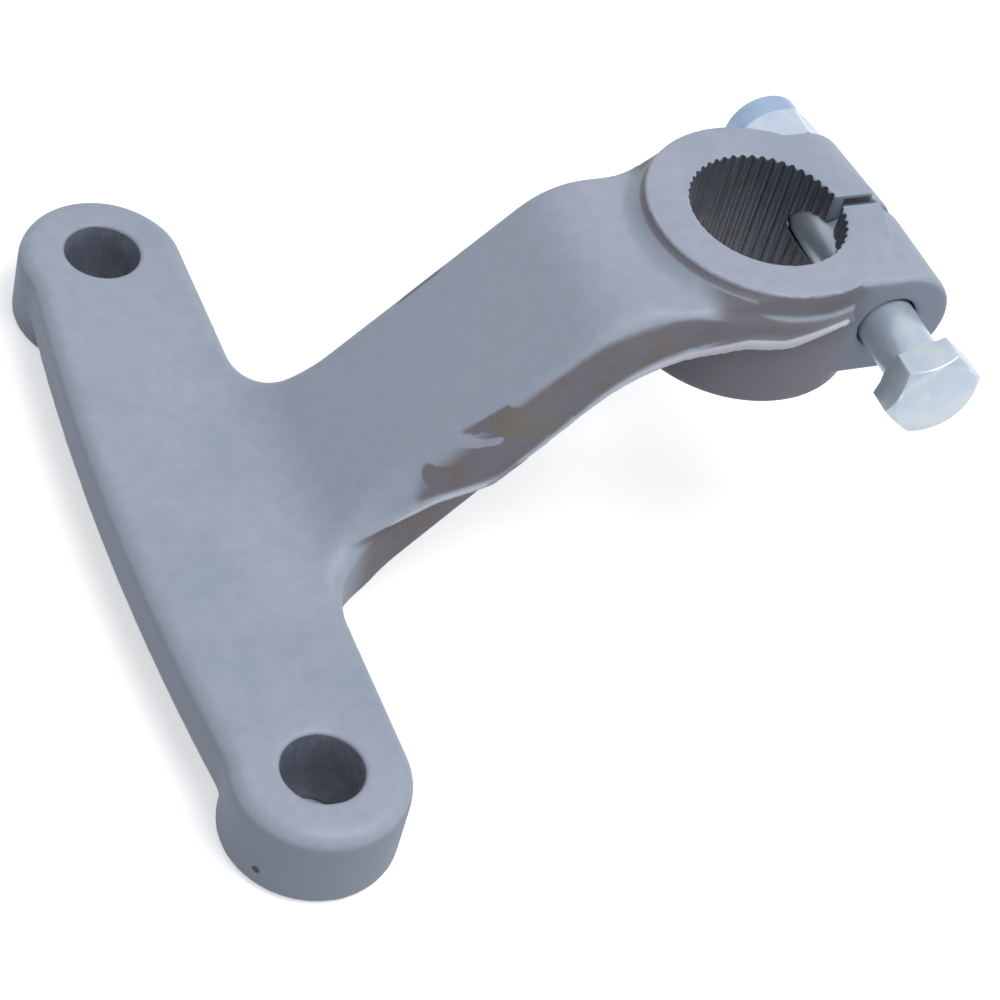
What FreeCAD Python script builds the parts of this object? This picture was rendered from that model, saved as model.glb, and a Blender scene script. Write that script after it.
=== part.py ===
import FreeCAD, Part
import math
import os

# Centre steering arm: a forged arm that is clamped on a serrated shaft at its hub and
# carries two rod ends in its crossbar. Millimetres, +Z up. The origin lies on the hub's
# axis in the plane of the hub's lower face, +X points from the crossbar to the hub.

# Crossbar and its two rod bosses
rod_spacing = 150.0
arm_reach = 116.0
hub_rise = 32.7
boss_radius = 18.6
boss_height = 20.2
boss_low_chamfer = 1.2
rod_hole_radius = 8.55
rod_hole_taper = 8.0
rod_hole_chamfer = 0.4
slab_thickness = 13.0
front_half_width = 16.8
front_bow = 4.4
front_blend = 14.0

# Arm, from the crossbar up to the hub
arm_half_width = 22.6
root_fillet = 17.0
deck_run = 41.3
slope_foot_inset = 0.4
under_foot_run = 10.5
under_corner_run = 38.5
under_corner_drop = 16.8
foot_bend = 18.0
under_foot_bend = 8.0
top_bend = 22.0
under_bend = 36.0
flare_start = 26.0
flare_bend = 30.0
top_edge_round = 4.0
foot_edge_round = 8.0
deck_edge_round = 2.6
low_edge_round = 1.5

# Hub
hub_radius = 26.9
hub_height = 31.5
hub_edge_chamfer = 0.4
hub_low_chamfer = 1.0
ring_height = 1.5
deck_drop = 5.3
collar_radius = 28.2
collar_skirt = 4.0
collar_skirt_depth = 0.5
collar_skirt_hollow = 0.3
collar_ledge = 0.2
bore_radius = 17.0
bore_chamfer = 0.5

# Flash ridge left on the parting line
ridge_half_width = 23.9
ridge_radius = 29.6
ridge_slope_thickness = 0.9
ridge_hub_thickness = 2.7
ridge_ear_thickness = 1.2
ridge_start_run = 1.0
ridge_start_depth = 0.5
ridge_first_run = 22.0
ridge_first_rise = 12.0
ridge_second_slope = 0.25
ridge_bend = 9.0
ridge_crest_run = 14.0
ridge_crest_drop = 12.3
ridge_dip_run = 6.5
ridge_dip_drop = 11.9
ridge_ear_run = 5.0
ridge_ear_drop = 7.9
ridge_hub_bend = 8.0

# Clamp ears and the slot between them
ear_radius = 13.4
ear_offset = 1.6
ear_drop = 0.4
ear_half_width = 24.9
ear_edge_round = 1.5
middle_ear_radius = 12.8
far_ear_radius = 11.3
far_ear_offset = 0.6
far_ear_edge_round = 0.8
slot_width = 2.7
slot_mouth_round = 1.4
spot_face_radius = 12.3

# Clamp bolt, half inch with thirteen threads to the inch
bolt_axis_x = 21.1
bolt_drop = 13.25
bolt_radius = 6.35
bolt_end_reach = 2.65
bolt_end_chamfer = 1.2
bolt_gap = 14.5
head_across_flats = 19.05
head_height = 7.94
head_face_height = 0.8
head_face_radius = 9.0
head_chamfer = 1.3
corner_inset = 0.3
head_turn = 42.0
hole_clearance = 0.55

# Lock nut with a nylon ring in its collar
nut_height = 15.6
nut_hex_height = 9.4
nut_across_flats = 19.05
nut_collar_radius = 9.1
nut_lip_radius = 7.4
nut_lip_height = 0.7
nut_turn = 40.0
nut_chamfer = 1.3
nut_rim_chamfer = 0.8
insert_radius = 8.1
insert_height = 2.8
thread_clearance = 0.06
seat_clearance = 0.05

# Places that follow from the sizes above
crossbar_x = -arm_reach
crossbar_top = -hub_rise
crossbar_low = crossbar_top - slab_thickness
crossbar_side = crossbar_x + boss_radius
bolt_axis_z = hub_height - bolt_drop
ring_foot_z = hub_height - ring_height
deck_z = hub_height - deck_drop
bolt_hole_radius = bolt_radius + hole_clearance
bolt_length = 2.0 * ear_half_width + bolt_gap + nut_height + bolt_end_reach
far_reach = 2.0 * arm_reach


def point(x, z):
    """A point of the side profile, which lies in the plane y = 0."""
    return FreeCAD.Vector(x, 0.0, z)


def cylinder(radius, height, base, axis):
    """A round bar from base along axis."""
    return Part.makeCylinder(radius, height, base, axis)


def corner_arc(before, corner, after, radius):
    """The arc that rounds one corner, with the points where it leaves the two straight runs."""
    to_before = (before - corner).normalize()
    to_after = (after - corner).normalize()
    half = to_before.getAngle(to_after) / 2.0
    cut = radius / math.tan(half)
    start = corner + to_before * cut
    end = corner + to_after * cut
    middle_way = (to_before + to_after).normalize()
    centre = corner + middle_way * (radius / math.sin(half))
    crown = centre - middle_way * radius
    return start, end, Part.Arc(start, crown, end).toShape()


def rounded_wire(corners):
    """A closed wire through corners, each given as a point and the radius that rounds it."""
    count = len(corners)
    runs = []
    arcs = []
    for index in range(count):
        corner, radius = corners[index]
        if radius > 0:
            before = corners[index - 1][0]
            after = corners[(index + 1) % count][0]
            start, end, arc = corner_arc(before, corner, after, radius)
        else:
            start, end, arc = corner, corner, None
        runs.append((start, end))
        arcs.append(arc)
    edges = []
    for index in range(count):
        if arcs[index] is not None:
            edges.append(arcs[index])
        leave = runs[index][1]
        reach = runs[(index + 1) % count][0]
        if (reach - leave).Length > 1e-6:
            edges.append(Part.makeLine(leave, reach))
    return Part.Wire(Part.__sortEdges__(edges))


def slab_from(wire, depth):
    """A solid made of the wire's face and pushed along depth."""
    return Part.Face(wire).extrude(depth)


def across(wire):
    """A side profile pushed right across the part."""
    moved = wire.copy()
    moved.translate(FreeCAD.Vector(0, -rod_spacing, 0))
    return slab_from(moved, FreeCAD.Vector(0, 2.0 * rod_spacing, 0))


def upright(wire):
    """A plan outline pushed right through the part's height."""
    moved = wire.copy()
    moved.translate(FreeCAD.Vector(0, 0, -far_reach))
    return slab_from(moved, FreeCAD.Vector(0, 0, 2.0 * far_reach))


def slope_foot():
    """Where the arm's sloping top face would meet the crossbar's top face."""
    return point(crossbar_side - slope_foot_inset, crossbar_top)


def deck_corner():
    """Where the slope and the level deck would meet without their bend."""
    return point(-deck_run, deck_z)


def height_between(low, high, x):
    """Height at x of the straight line through two points of the side view."""
    return low.z + (high.z - low.z) * (x - low.x) / (high.x - low.x)


def slope_top(x):
    """Height of the arm's sloping top face at x."""
    return height_between(slope_foot(), deck_corner(), x)


def under_foot():
    """Where the slope's underside would meet the crossbar's underside."""
    return point(crossbar_side + under_foot_run, crossbar_low)


def under_corner():
    """Where the slope's underside would meet the underside that runs on to the hub."""
    return point(-under_corner_run, deck_z - under_corner_drop)


def hub_parting_line():
    """The parting line's corners round the hub in the side view, from its crest to the ears."""
    ear = point(ridge_ear_run, hub_height - ridge_ear_drop)
    return [
        point(-ridge_crest_run, hub_height - ridge_crest_drop),
        point(-ridge_dip_run, hub_height - ridge_dip_drop),
        ear,
        point(2.0 * collar_radius, ear.z),
    ]


def side_profile():
    """The S-shaped side view of crossbar, slope and deck."""
    front = crossbar_x - boss_radius - 2.0 * front_bow
    down = point(0, -ridge_hub_thickness / 2.0)
    crest, dip, ear, hub_end = [corner + down for corner in hub_parting_line()]
    return rounded_wire([
        (point(front, crossbar_top), 0),
        (slope_foot(), foot_bend),
        (deck_corner(), top_bend),
        (point(hub_end.x, deck_z), 0),
        (hub_end, 0),
        (ear, ridge_hub_bend),
        (dip, ridge_hub_bend),
        (crest, ridge_hub_bend),
        (under_corner(), under_bend),
        (under_foot(), under_foot_bend),
        (point(front, crossbar_low), 0),
    ])


def flare(half_width, radius, side):
    """One side of the arm's plan where it spreads from its straight wall to the hub's circle."""
    root = FreeCAD.Vector(-arm_reach, side * half_width, 0)
    start = FreeCAD.Vector(-flare_start, side * half_width, 0)
    turn = math.atan2(half_width, -flare_start) - math.acos(radius / start.Length)
    touch = FreeCAD.Vector(radius * math.cos(turn), side * radius * math.sin(turn), 0)
    leave, meet, arc = corner_arc(root, start, touch, flare_bend)
    return leave, meet, arc, touch


def arm_plan(half_width, radius, root_x):
    """Plan outline of the arm and the hub's circle, cut off straight at root_x."""
    near_leave, near_meet, near_arc, near_touch = flare(half_width, radius, -1)
    far_leave, far_meet, far_arc, far_touch = flare(half_width, radius, 1)
    near_root = FreeCAD.Vector(root_x, -half_width, 0)
    far_root = FreeCAD.Vector(root_x, half_width, 0)
    edges = [
        Part.makeLine(far_root, near_root),
        Part.makeLine(near_root, near_leave),
        near_arc,
        Part.makeLine(near_meet, near_touch),
        Part.Arc(near_touch, FreeCAD.Vector(radius, 0, 0), far_touch).toShape(),
        Part.makeLine(far_touch, far_meet),
        far_arc,
        Part.makeLine(far_leave, far_root),
    ]
    return Part.Wire(Part.__sortEdges__(edges))


def crossbar_plan():
    """Plan outline of the crossbar between the rod holes: bowed front, straight side and root."""
    half = rod_spacing / 2.0
    front = crossbar_x - front_half_width
    near_end = FreeCAD.Vector(front, -half, 0)
    far_end = FreeCAD.Vector(front, half, 0)
    crown = FreeCAD.Vector(front - front_bow, 0, 0)
    edges = [
        Part.Arc(far_end, crown, near_end).toShape(),
        Part.makeLine(near_end, FreeCAD.Vector(crossbar_side, -half, 0)),
        Part.makeLine(FreeCAD.Vector(crossbar_side, half, 0), far_end),
    ]
    return edges + root_edges(-1) + root_edges(1)


def root_edges(side):
    """The crossbar's straight side and the fillet that leads it into the arm, on one side."""
    half = rod_spacing / 2.0
    wall = side * arm_half_width
    root_x = crossbar_side + root_fillet
    centre = FreeCAD.Vector(root_x, wall + side * root_fillet, 0)
    reach = root_fillet * math.sqrt(0.5)
    inner = centre + FreeCAD.Vector(-reach, -side * reach, 0)
    start = FreeCAD.Vector(crossbar_side, centre.y, 0)
    end = FreeCAD.Vector(root_x, wall, 0)
    return [
        Part.makeLine(FreeCAD.Vector(crossbar_side, side * half, 0), start),
        Part.Arc(start, inner, end).toShape(),
        Part.makeLine(end, FreeCAD.Vector(root_x, 0, 0)),
    ]


def plan_prism():
    """The whole plan outline as an upright prism, with the rod ends round."""
    up = FreeCAD.Vector(0, 0, 1)
    half = rod_spacing / 2.0
    bar = upright(Part.Wire(Part.__sortEdges__(crossbar_plan())))
    arm = upright(arm_plan(arm_half_width, collar_radius, crossbar_side + root_fillet))
    ends = []
    for sign in (1, -1):
        base = FreeCAD.Vector(crossbar_x, sign * half, -far_reach)
        ends.append(cylinder(boss_radius, 2.0 * far_reach, base, up))
    return bar.fuse([arm] + ends).removeSplitter()


def edges_where(shape, test):
    """The shape's edges that pass the test on their middle point and bounding box."""
    found = []
    for edge in shape.Edges:
        middle = edge.valueAt((edge.FirstParameter + edge.LastParameter) / 2.0)
        if test(middle, edge.BoundBox):
            found.append(edge)
    return found


def deck_height(x):
    """Height of the bar's upper face at x, with its bends left out."""
    return min(max(slope_top(x), crossbar_top), deck_z)


def top_round(spot):
    """Radius that rounds the bar's top edge at spot. The far edge keeps one radius up to the hub,
    and the near edge is widest at the slope's foot and least on the deck."""
    if spot.y > 0 and spot.x < -hub_radius / 2.0:
        return top_edge_round
    stations = [
        (-far_reach, top_edge_round),
        (crossbar_side, top_edge_round),
        (crossbar_side + root_fillet, foot_edge_round),
        (-deck_run, deck_edge_round),
        (far_reach, deck_edge_round),
    ]
    for (low_x, low_round), (high_x, high_round) in zip(stations, stations[1:]):
        if low_x <= spot.x <= high_x:
            return low_round + (high_round - low_round) * (spot.x - low_x) / (high_x - low_x)


def rounded_along(shape, test, radius_at):
    """The shape with the edges that pass the test rounded by a radius that changes along them."""
    rounds = []
    for index, edge in enumerate(shape.Edges):
        start = edge.valueAt(edge.FirstParameter)
        middle = edge.valueAt((edge.FirstParameter + edge.LastParameter) / 2.0)
        end = edge.valueAt(edge.LastParameter)
        if test(middle, edge.BoundBox):
            rounds.append((index + 1, radius_at(start), radius_at(end)))
    document = FreeCAD.newDocument("rounding")
    base = document.addObject("Part::Feature", "base")
    base.Shape = shape
    softened = document.addObject("Part::Fillet", "softened")
    softened.Base = base
    softened.Edges = rounds
    document.recompute()
    result = softened.Shape.copy()
    FreeCAD.closeDocument(document.Name)
    return result


def is_upright(box):
    """Tells whether an edge's bounding box is that of an upright line."""
    return box.XLength + box.YLength < 0.05


def forged_bar():
    """Crossbar, slope and deck as one bar: the side profile trimmed to the plan outline."""
    bar = across(side_profile()).common(plan_prism()).removeSplitter()

    def is_front_corner(middle, box):
        before_front = middle.x < crossbar_x - front_half_width / 2.0
        return is_upright(box) and before_front and abs(middle.y) < rod_spacing / 2.0

    def runs_across(middle, box):
        return box.XLength < 0.05 and abs(middle.y) < 1.0

    def is_top(middle, box):
        near_deck = middle.z > deck_height(middle.x) - slab_thickness / 5.0
        return near_deck and not is_upright(box) and not runs_across(middle, box)

    def is_low(middle, box):
        return box.ZMax < crossbar_low + 0.01 and not runs_across(middle, box)

    bar = bar.makeFillet(front_blend, edges_where(bar, is_front_corner))
    bar = rounded_along(bar, is_top, top_round)
    return bar.makeFillet(low_edge_round, edges_where(bar, is_low))


def hub_collar():
    """The forged collar under the ring, which runs down on to the deck in a hollow skirt."""
    low = hub_parting_line()[0].z
    skirt_z = deck_z - collar_skirt_depth
    outer = collar_radius + collar_skirt
    reach = (outer - hub_radius) * collar_skirt_hollow
    wall = [
        point(0, low),
        point(outer, low),
        point(outer, skirt_z),
        point(hub_radius + reach, (skirt_z + ring_foot_z) / 2.0),
        point(hub_radius + collar_ledge, ring_foot_z),
        point(0, ring_foot_z),
    ]
    edges = [
        Part.makeLine(wall[0], wall[1]),
        Part.makeLine(wall[1], wall[2]),
        Part.Arc(wall[2], wall[3], wall[4]).toShape(),
        Part.makeLine(wall[4], wall[5]),
        Part.makeLine(wall[5], wall[0]),
    ]
    turned = Part.Face(Part.Wire(edges)).revolve(FreeCAD.Vector(), FreeCAD.Vector(0, 0, 1), 360)
    inset = deck_edge_round / 2.0
    plan = arm_plan(arm_half_width - inset, collar_radius - inset, crossbar_side + root_fillet)
    return turned.common(upright(plan))


def rod_boss(sign):
    """One round boss under a crossbar end, chamfered at its lower edge."""
    centre = FreeCAD.Vector(crossbar_x, sign * rod_spacing / 2.0, crossbar_top - boss_height)
    height = boss_height - top_edge_round
    boss = cylinder(boss_radius, height, centre, FreeCAD.Vector(0, 0, 1))
    low_edges = edges_where(boss, lambda middle, box: box.ZMax < centre.z + 0.01)
    return boss.makeChamfer(boss_low_chamfer, low_edges)


def ridge_path():
    """Corners of the flash ridge's middle line in the side view, from the crossbar to beyond the
    hub, each with the radius of its bend and half the ridge's thickness there."""
    thin = ridge_slope_thickness / 2.0
    thick = ridge_hub_thickness / 2.0
    end_half = ridge_ear_thickness / 2.0
    foot = under_foot()
    corner = under_corner()
    lean = (corner.z - foot.z) / (corner.x - foot.x)
    lift = thin * math.sqrt(1.0 + lean * lean)
    start_x = crossbar_side + ridge_start_run
    start = point(start_x, slope_top(start_x) - ridge_start_depth)
    first = point(start.x + ridge_first_run, start.z + ridge_first_rise)
    rise = ridge_second_slope
    meet_x = (first.z - first.x * rise - foot.z - lift + foot.x * lean) / (lean - rise)
    meet = point(meet_x, foot.z + lift + (meet_x - foot.x) * lean)
    crest, dip, ear, hub_end = hub_parting_line()
    return [
        (start, 0, thin),
        (first, ridge_bend, thin),
        (meet, ridge_bend, thin),
        (corner + point(0, thin), under_bend, thin),
        (crest, ridge_hub_bend, thick),
        (dip, ridge_hub_bend, thick),
        (ear, ridge_hub_bend, end_half),
        (hub_end, 0, end_half),
    ]


def ridge_strip():
    """The thin band of metal on the parting line, trimmed to its own plan outline."""
    path = ridge_path()
    upper = [(spot + point(0, half), radius) for spot, radius, half in path]
    lower = [(spot - point(0, half), radius) for spot, radius, half in reversed(path)]
    band = across(rounded_wire(upper + lower))
    plan = arm_plan(ridge_half_width, ridge_radius, crossbar_side + ridge_start_run)
    return band.common(upright(plan))


def hub_barrel():
    """The hub's barrel from its lower face to the ring round the bore."""
    barrel = cylinder(hub_radius, hub_height, FreeCAD.Vector(), FreeCAD.Vector(0, 0, 1))
    top_edges = edges_where(barrel, lambda middle, box: box.ZMin > hub_height - 0.01)
    low_edges = edges_where(barrel, lambda middle, box: box.ZMax < 0.01)
    barrel = barrel.makeChamfer(hub_edge_chamfer, top_edges)
    return barrel.makeChamfer(hub_low_chamfer, low_edges)


def ear_outline(centre, radius, y):
    """Outline of the ears at y: round about centre and open towards the hub."""
    high = centre + point(0, radius)
    tip = centre + point(radius, 0)
    low = centre - point(0, radius)
    root_high = point(0, high.z)
    root_low = point(0, low.z)
    wire = Part.Wire([
        Part.makeLine(root_high, high),
        Part.Arc(high, tip, low).toShape(),
        Part.makeLine(low, root_low),
        Part.makeLine(root_low, root_high),
    ])
    wire.translate(FreeCAD.Vector(0, y, 0))
    return wire


def clamp_ears():
    """Both clamp ears as one block before the slot is cut. It narrows towards the nut's seat."""
    near_centre = point(bolt_axis_x + ear_offset, bolt_axis_z - ear_drop)
    far_centre = point(bolt_axis_x + far_ear_offset, bolt_axis_z)
    near = ear_outline(near_centre, ear_radius, -ear_half_width)
    middle = ear_outline(near_centre, middle_ear_radius, 0)
    far = ear_outline(far_centre, far_ear_radius, ear_half_width)
    block = Part.makeLoft([near, middle, far], True, True)
    near_rim = edges_where(
        block,
        lambda middle, box: middle.y < 0.01 - ear_half_width and middle.x > 0.01,
    )
    block = block.makeFillet(ear_edge_round, near_rim)
    far_rim = edges_where(
        block,
        lambda middle, box: middle.y > ear_half_width - 0.01 and middle.x > 0.01,
    )
    return block.makeFillet(far_ear_edge_round, far_rim)


def slot_mouth():
    """The cutter that rounds the slot's two inner corners, where it opens into the bore."""
    half = slot_width / 2.0
    centre_y = half + slot_mouth_round
    reach = bore_radius + slot_mouth_round
    centre = FreeCAD.Vector(math.sqrt(reach * reach - centre_y * centre_y), centre_y, 0)
    wall = FreeCAD.Vector(centre.x, half, 0)
    rim = centre * (bore_radius / reach)
    inwards = (wall + rim - centre * 2.0).normalize()
    crown = centre + inwards * slot_mouth_round
    apex = FreeCAD.Vector(bore_radius / 2.0, 0, 0)

    def far_side(spot):
        return FreeCAD.Vector(spot.x, -spot.y, 0)

    edges = [
        Part.Arc(wall, crown, rim).toShape(),
        Part.makeLine(rim, apex),
        Part.makeLine(apex, far_side(rim)),
        Part.Arc(far_side(rim), far_side(crown), far_side(wall)).toShape(),
        Part.makeLine(far_side(wall), wall),
    ]
    return upright(Part.Wire(edges))


def hole_cutter(low_radius, top_radius, chamfer, base, height):
    """The cutter of an upright round hole, straight or tapered, with both rims chamfered."""
    spare = 1.0
    lean = (top_radius - low_radius) / height
    profile = [
        point(0, -spare),
        point(low_radius + chamfer + spare, -spare),
        point(low_radius + lean * chamfer, chamfer),
        point(top_radius - lean * chamfer, height - chamfer),
        point(top_radius + chamfer + spare, height + spare),
        point(0, height + spare),
    ]
    face = Part.Face(Part.makePolygon(profile + [profile[0]]))
    cutter = face.revolve(FreeCAD.Vector(), FreeCAD.Vector(0, 0, 1), 360)
    cutter.translate(base)
    return cutter


def steering_arm():
    """The whole forging with its machined bore, slot and holes."""
    body = forged_bar().fuse([
        rod_boss(1),
        rod_boss(-1),
        hub_collar(),
        ridge_strip(),
        clamp_ears(),
        hub_barrel(),
    ]).removeSplitter()
    cutters = [hole_cutter(bore_radius, bore_radius, bore_chamfer, FreeCAD.Vector(), hub_height)]
    small_radius = rod_hole_radius - boss_height / rod_hole_taper / 2.0
    for sign in (1, -1):
        base = FreeCAD.Vector(crossbar_x, sign * rod_spacing / 2.0, crossbar_top - boss_height)
        cutters.append(hole_cutter(small_radius, rod_hole_radius, rod_hole_chamfer, base, boss_height))
    hole_start = FreeCAD.Vector(bolt_axis_x, -2.0 * ear_half_width, bolt_axis_z)
    cutters.append(cylinder(bolt_hole_radius, 4.0 * ear_half_width, hole_start, FreeCAD.Vector(0, 1, 0)))
    for sign in (1, -1):
        face = FreeCAD.Vector(bolt_axis_x, sign * ear_half_width, bolt_axis_z)
        outwards = FreeCAD.Vector(0, sign, 0)
        cutters.append(cylinder(spot_face_radius, ear_half_width, face, outwards))
    slot_length = bolt_axis_x + ear_offset + 2.0 * ear_radius
    slot_base = FreeCAD.Vector(0, -slot_width / 2.0, -hub_height)
    cutters.append(Part.makeBox(slot_length, slot_width, 3.0 * hub_height, slot_base))
    cutters.append(slot_mouth())
    return body.cut(cutters).removeSplitter()


def hexagon(across_flats, height, turn):
    """A hexagonal prism standing on z = 0, turned by turn degrees."""
    corner = across_flats / math.sqrt(3.0)
    corners = []
    for step in range(6):
        angle = math.radians(turn + 60.0 * step)
        corners.append((FreeCAD.Vector(corner * math.cos(angle), corner * math.sin(angle), 0), 0))
    return slab_from(rounded_wire(corners), FreeCAD.Vector(0, 0, height))


def chamfer_cone(across_flats, height, drop):
    """The turned body whose cone takes off a hexagon's corners at its upper end."""
    corner = across_flats / math.sqrt(3.0)
    rim = across_flats / 2.0 - corner_inset
    slope = drop * (corner - rim) / (corner - across_flats / 2.0)
    profile = [
        point(0, 0),
        point(2.0 * corner, 0),
        point(2.0 * corner, height - drop),
        point(corner, height - drop),
        point(rim, height - drop + slope),
        point(0, height - drop + slope),
    ]
    face = Part.Face(Part.makePolygon(profile + [profile[0]]))
    return face.revolve(FreeCAD.Vector(), FreeCAD.Vector(0, 0, 1), 360)


def laid_along_bolt(shape, y):
    """Turns a shape built along +Z so that it points along +Y and starts at y."""
    placed = shape.copy()
    placed.rotate(FreeCAD.Vector(), FreeCAD.Vector(1, 0, 0), -90)
    placed.translate(FreeCAD.Vector(bolt_axis_x, y, bolt_axis_z))
    return placed


def clamp_bolt():
    """The hexagon bolt, its head standing off the near ear by the gap seen in use."""
    hex_height = head_height - head_face_height
    head = hexagon(head_across_flats, hex_height, head_turn)
    head = head.common(chamfer_cone(head_across_flats, hex_height, head_chamfer))
    head.rotate(FreeCAD.Vector(), FreeCAD.Vector(1, 0, 0), 180)
    head.translate(FreeCAD.Vector(0, 0, -head_face_height))
    face = cylinder(head_face_radius, head_face_height, FreeCAD.Vector(0, 0, -head_face_height),
                    FreeCAD.Vector(0, 0, 1))
    shank = cylinder(bolt_radius, bolt_length, FreeCAD.Vector(), FreeCAD.Vector(0, 0, 1))
    end = edges_where(shank, lambda middle, box: box.ZMin > bolt_length - 0.01)
    shank = shank.makeChamfer(bolt_end_chamfer, end)
    bolt = head.fuse([face, shank]).removeSplitter()
    return laid_along_bolt(bolt, -ear_half_width - bolt_gap)


def clamp_nut():
    """The lock nut on the far ear: hexagon, round collar and the pocket of its nylon ring."""
    up = FreeCAD.Vector(0, 0, 1)
    body = hexagon(nut_across_flats, nut_hex_height, nut_turn)
    body = body.common(chamfer_cone(nut_across_flats, nut_hex_height, nut_chamfer))
    collar = cylinder(nut_collar_radius, nut_height, FreeCAD.Vector(), up)
    rim = edges_where(collar, lambda middle, box: box.ZMin > nut_height - 0.01)
    collar = collar.makeChamfer(nut_rim_chamfer, rim)
    pocket_z = nut_height - nut_lip_height - insert_height
    bore = cylinder(bolt_radius + thread_clearance, nut_height, FreeCAD.Vector(), up)
    pocket = cylinder(insert_radius, insert_height, FreeCAD.Vector(0, 0, pocket_z), up)
    mouth = cylinder(nut_lip_radius, nut_height - pocket_z, FreeCAD.Vector(0, 0, pocket_z), up)
    nut = body.fuse(collar).cut([bore, pocket, mouth]).removeSplitter()
    return laid_along_bolt(nut, ear_half_width + seat_clearance)


def nut_insert():
    """The nylon ring that grips the thread."""
    up = FreeCAD.Vector(0, 0, 1)
    pocket_z = nut_height - nut_lip_height - insert_height
    ring = cylinder(insert_radius, insert_height, FreeCAD.Vector(0, 0, pocket_z), up)
    hole = cylinder(bolt_radius + thread_clearance, insert_height, FreeCAD.Vector(0, 0, pocket_z), up)
    return laid_along_bolt(ring.cut(hole), ear_half_width + seat_clearance)


def main():
    """Writes one STEP file for each piece."""
    pieces = {
        "steering_arm": steering_arm(),
        "clamp_bolt": clamp_bolt(),
        "clamp_nut": clamp_nut(),
        "nut_insert": nut_insert(),
    }
    os.makedirs("parts", exist_ok=True)
    for name, shape in pieces.items():
        if len(shape.Solids) == 1:
            shape = shape.Solids[0]
        shape.exportStep(os.path.join("parts", name + ".step"))
        print(name, "solids", len(shape.Solids), "valid", shape.isValid(),
              "volume", round(shape.Volume, 1))


main()
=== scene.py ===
import math
from functools import cached_property
import bmesh
import bpy
from mathutils import Matrix, Vector, noise


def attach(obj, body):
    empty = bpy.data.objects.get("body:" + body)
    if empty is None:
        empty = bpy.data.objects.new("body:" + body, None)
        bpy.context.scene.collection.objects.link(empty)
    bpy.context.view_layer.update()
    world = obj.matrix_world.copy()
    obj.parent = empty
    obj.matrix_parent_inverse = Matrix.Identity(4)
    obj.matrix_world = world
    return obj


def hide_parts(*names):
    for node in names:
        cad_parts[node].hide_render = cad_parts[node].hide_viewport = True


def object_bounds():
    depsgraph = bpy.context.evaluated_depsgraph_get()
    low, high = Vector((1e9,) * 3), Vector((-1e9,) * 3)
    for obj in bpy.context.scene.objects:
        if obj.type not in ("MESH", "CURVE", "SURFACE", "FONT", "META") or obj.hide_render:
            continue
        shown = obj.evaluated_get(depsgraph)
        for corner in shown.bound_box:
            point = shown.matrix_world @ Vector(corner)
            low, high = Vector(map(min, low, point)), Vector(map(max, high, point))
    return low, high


# Center steering arm: a painted forging with a zinc plated clamp bolt, on a plain pale floor.
# Everything is in metres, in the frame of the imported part: +X to the hub, +Z up.

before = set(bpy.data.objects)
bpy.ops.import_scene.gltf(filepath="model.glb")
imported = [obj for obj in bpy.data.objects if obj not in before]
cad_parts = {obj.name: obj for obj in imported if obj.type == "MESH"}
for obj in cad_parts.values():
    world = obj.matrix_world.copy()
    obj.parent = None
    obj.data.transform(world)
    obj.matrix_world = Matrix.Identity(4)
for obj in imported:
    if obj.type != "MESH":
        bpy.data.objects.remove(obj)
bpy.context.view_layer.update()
mm = 0.001
mergeReach = 0.001 * mm             # points closer than this are made one


def srgb(red, green, blue):
    # a screen colour, 0 to 255, as the linear colour that a socket takes
    levels = []
    for value in (red, green, blue):
        share = value / 255
        levels.append(share / 12.92 if share < 0.04045 else ((share + 0.055) / 1.055) ** 2.4)
    return (*levels, 1)


class Signal:
    # one socket of a node tree: sums on it add their Math nodes

    def __init__(self, shader, socket):
        self.shader = shader
        self.socket = socket

    def calc(self, operation, *values):
        inputs = dict(enumerate(values))
        return self.shader.node("Math", {"operation": operation}, inputs)[0]

    def __add__(self, other):
        return self.calc("ADD", self, other)

    def __radd__(self, other):
        return self.calc("ADD", other, self)

    def __sub__(self, other):
        return self.calc("SUBTRACT", self, other)

    def __rsub__(self, other):
        return self.calc("SUBTRACT", other, self)

    def __mul__(self, other):
        return self.calc("MULTIPLY", self, other)

    def __rmul__(self, other):
        return self.calc("MULTIPLY", other, self)

    def __truediv__(self, other):
        return self.calc("DIVIDE", self, other)

    def __rtruediv__(self, other):
        return self.calc("DIVIDE", other, self)

    def __pow__(self, other):
        return self.calc("POWER", self, other)

    def __abs__(self):
        return self.calc("ABSOLUTE", self)

    def larger(self, other):
        return self.calc("MAXIMUM", self, other)

    def smaller(self, other):
        return self.calc("MINIMUM", self, other)

    def between(self, low, high):
        # rises softly from 0 at low to 1 at high
        settings = {"interpolation_type": "SMOOTHSTEP"}
        inputs = {"Value": self, "From Min": low, "From Max": high}
        return self.shader.node("MapRange", settings, inputs)[0]

    def swing(self, reach):
        # a noise from 0 to 1 as a change of up to half the reach, up or down
        return (self - 0.5) * reach


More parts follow.
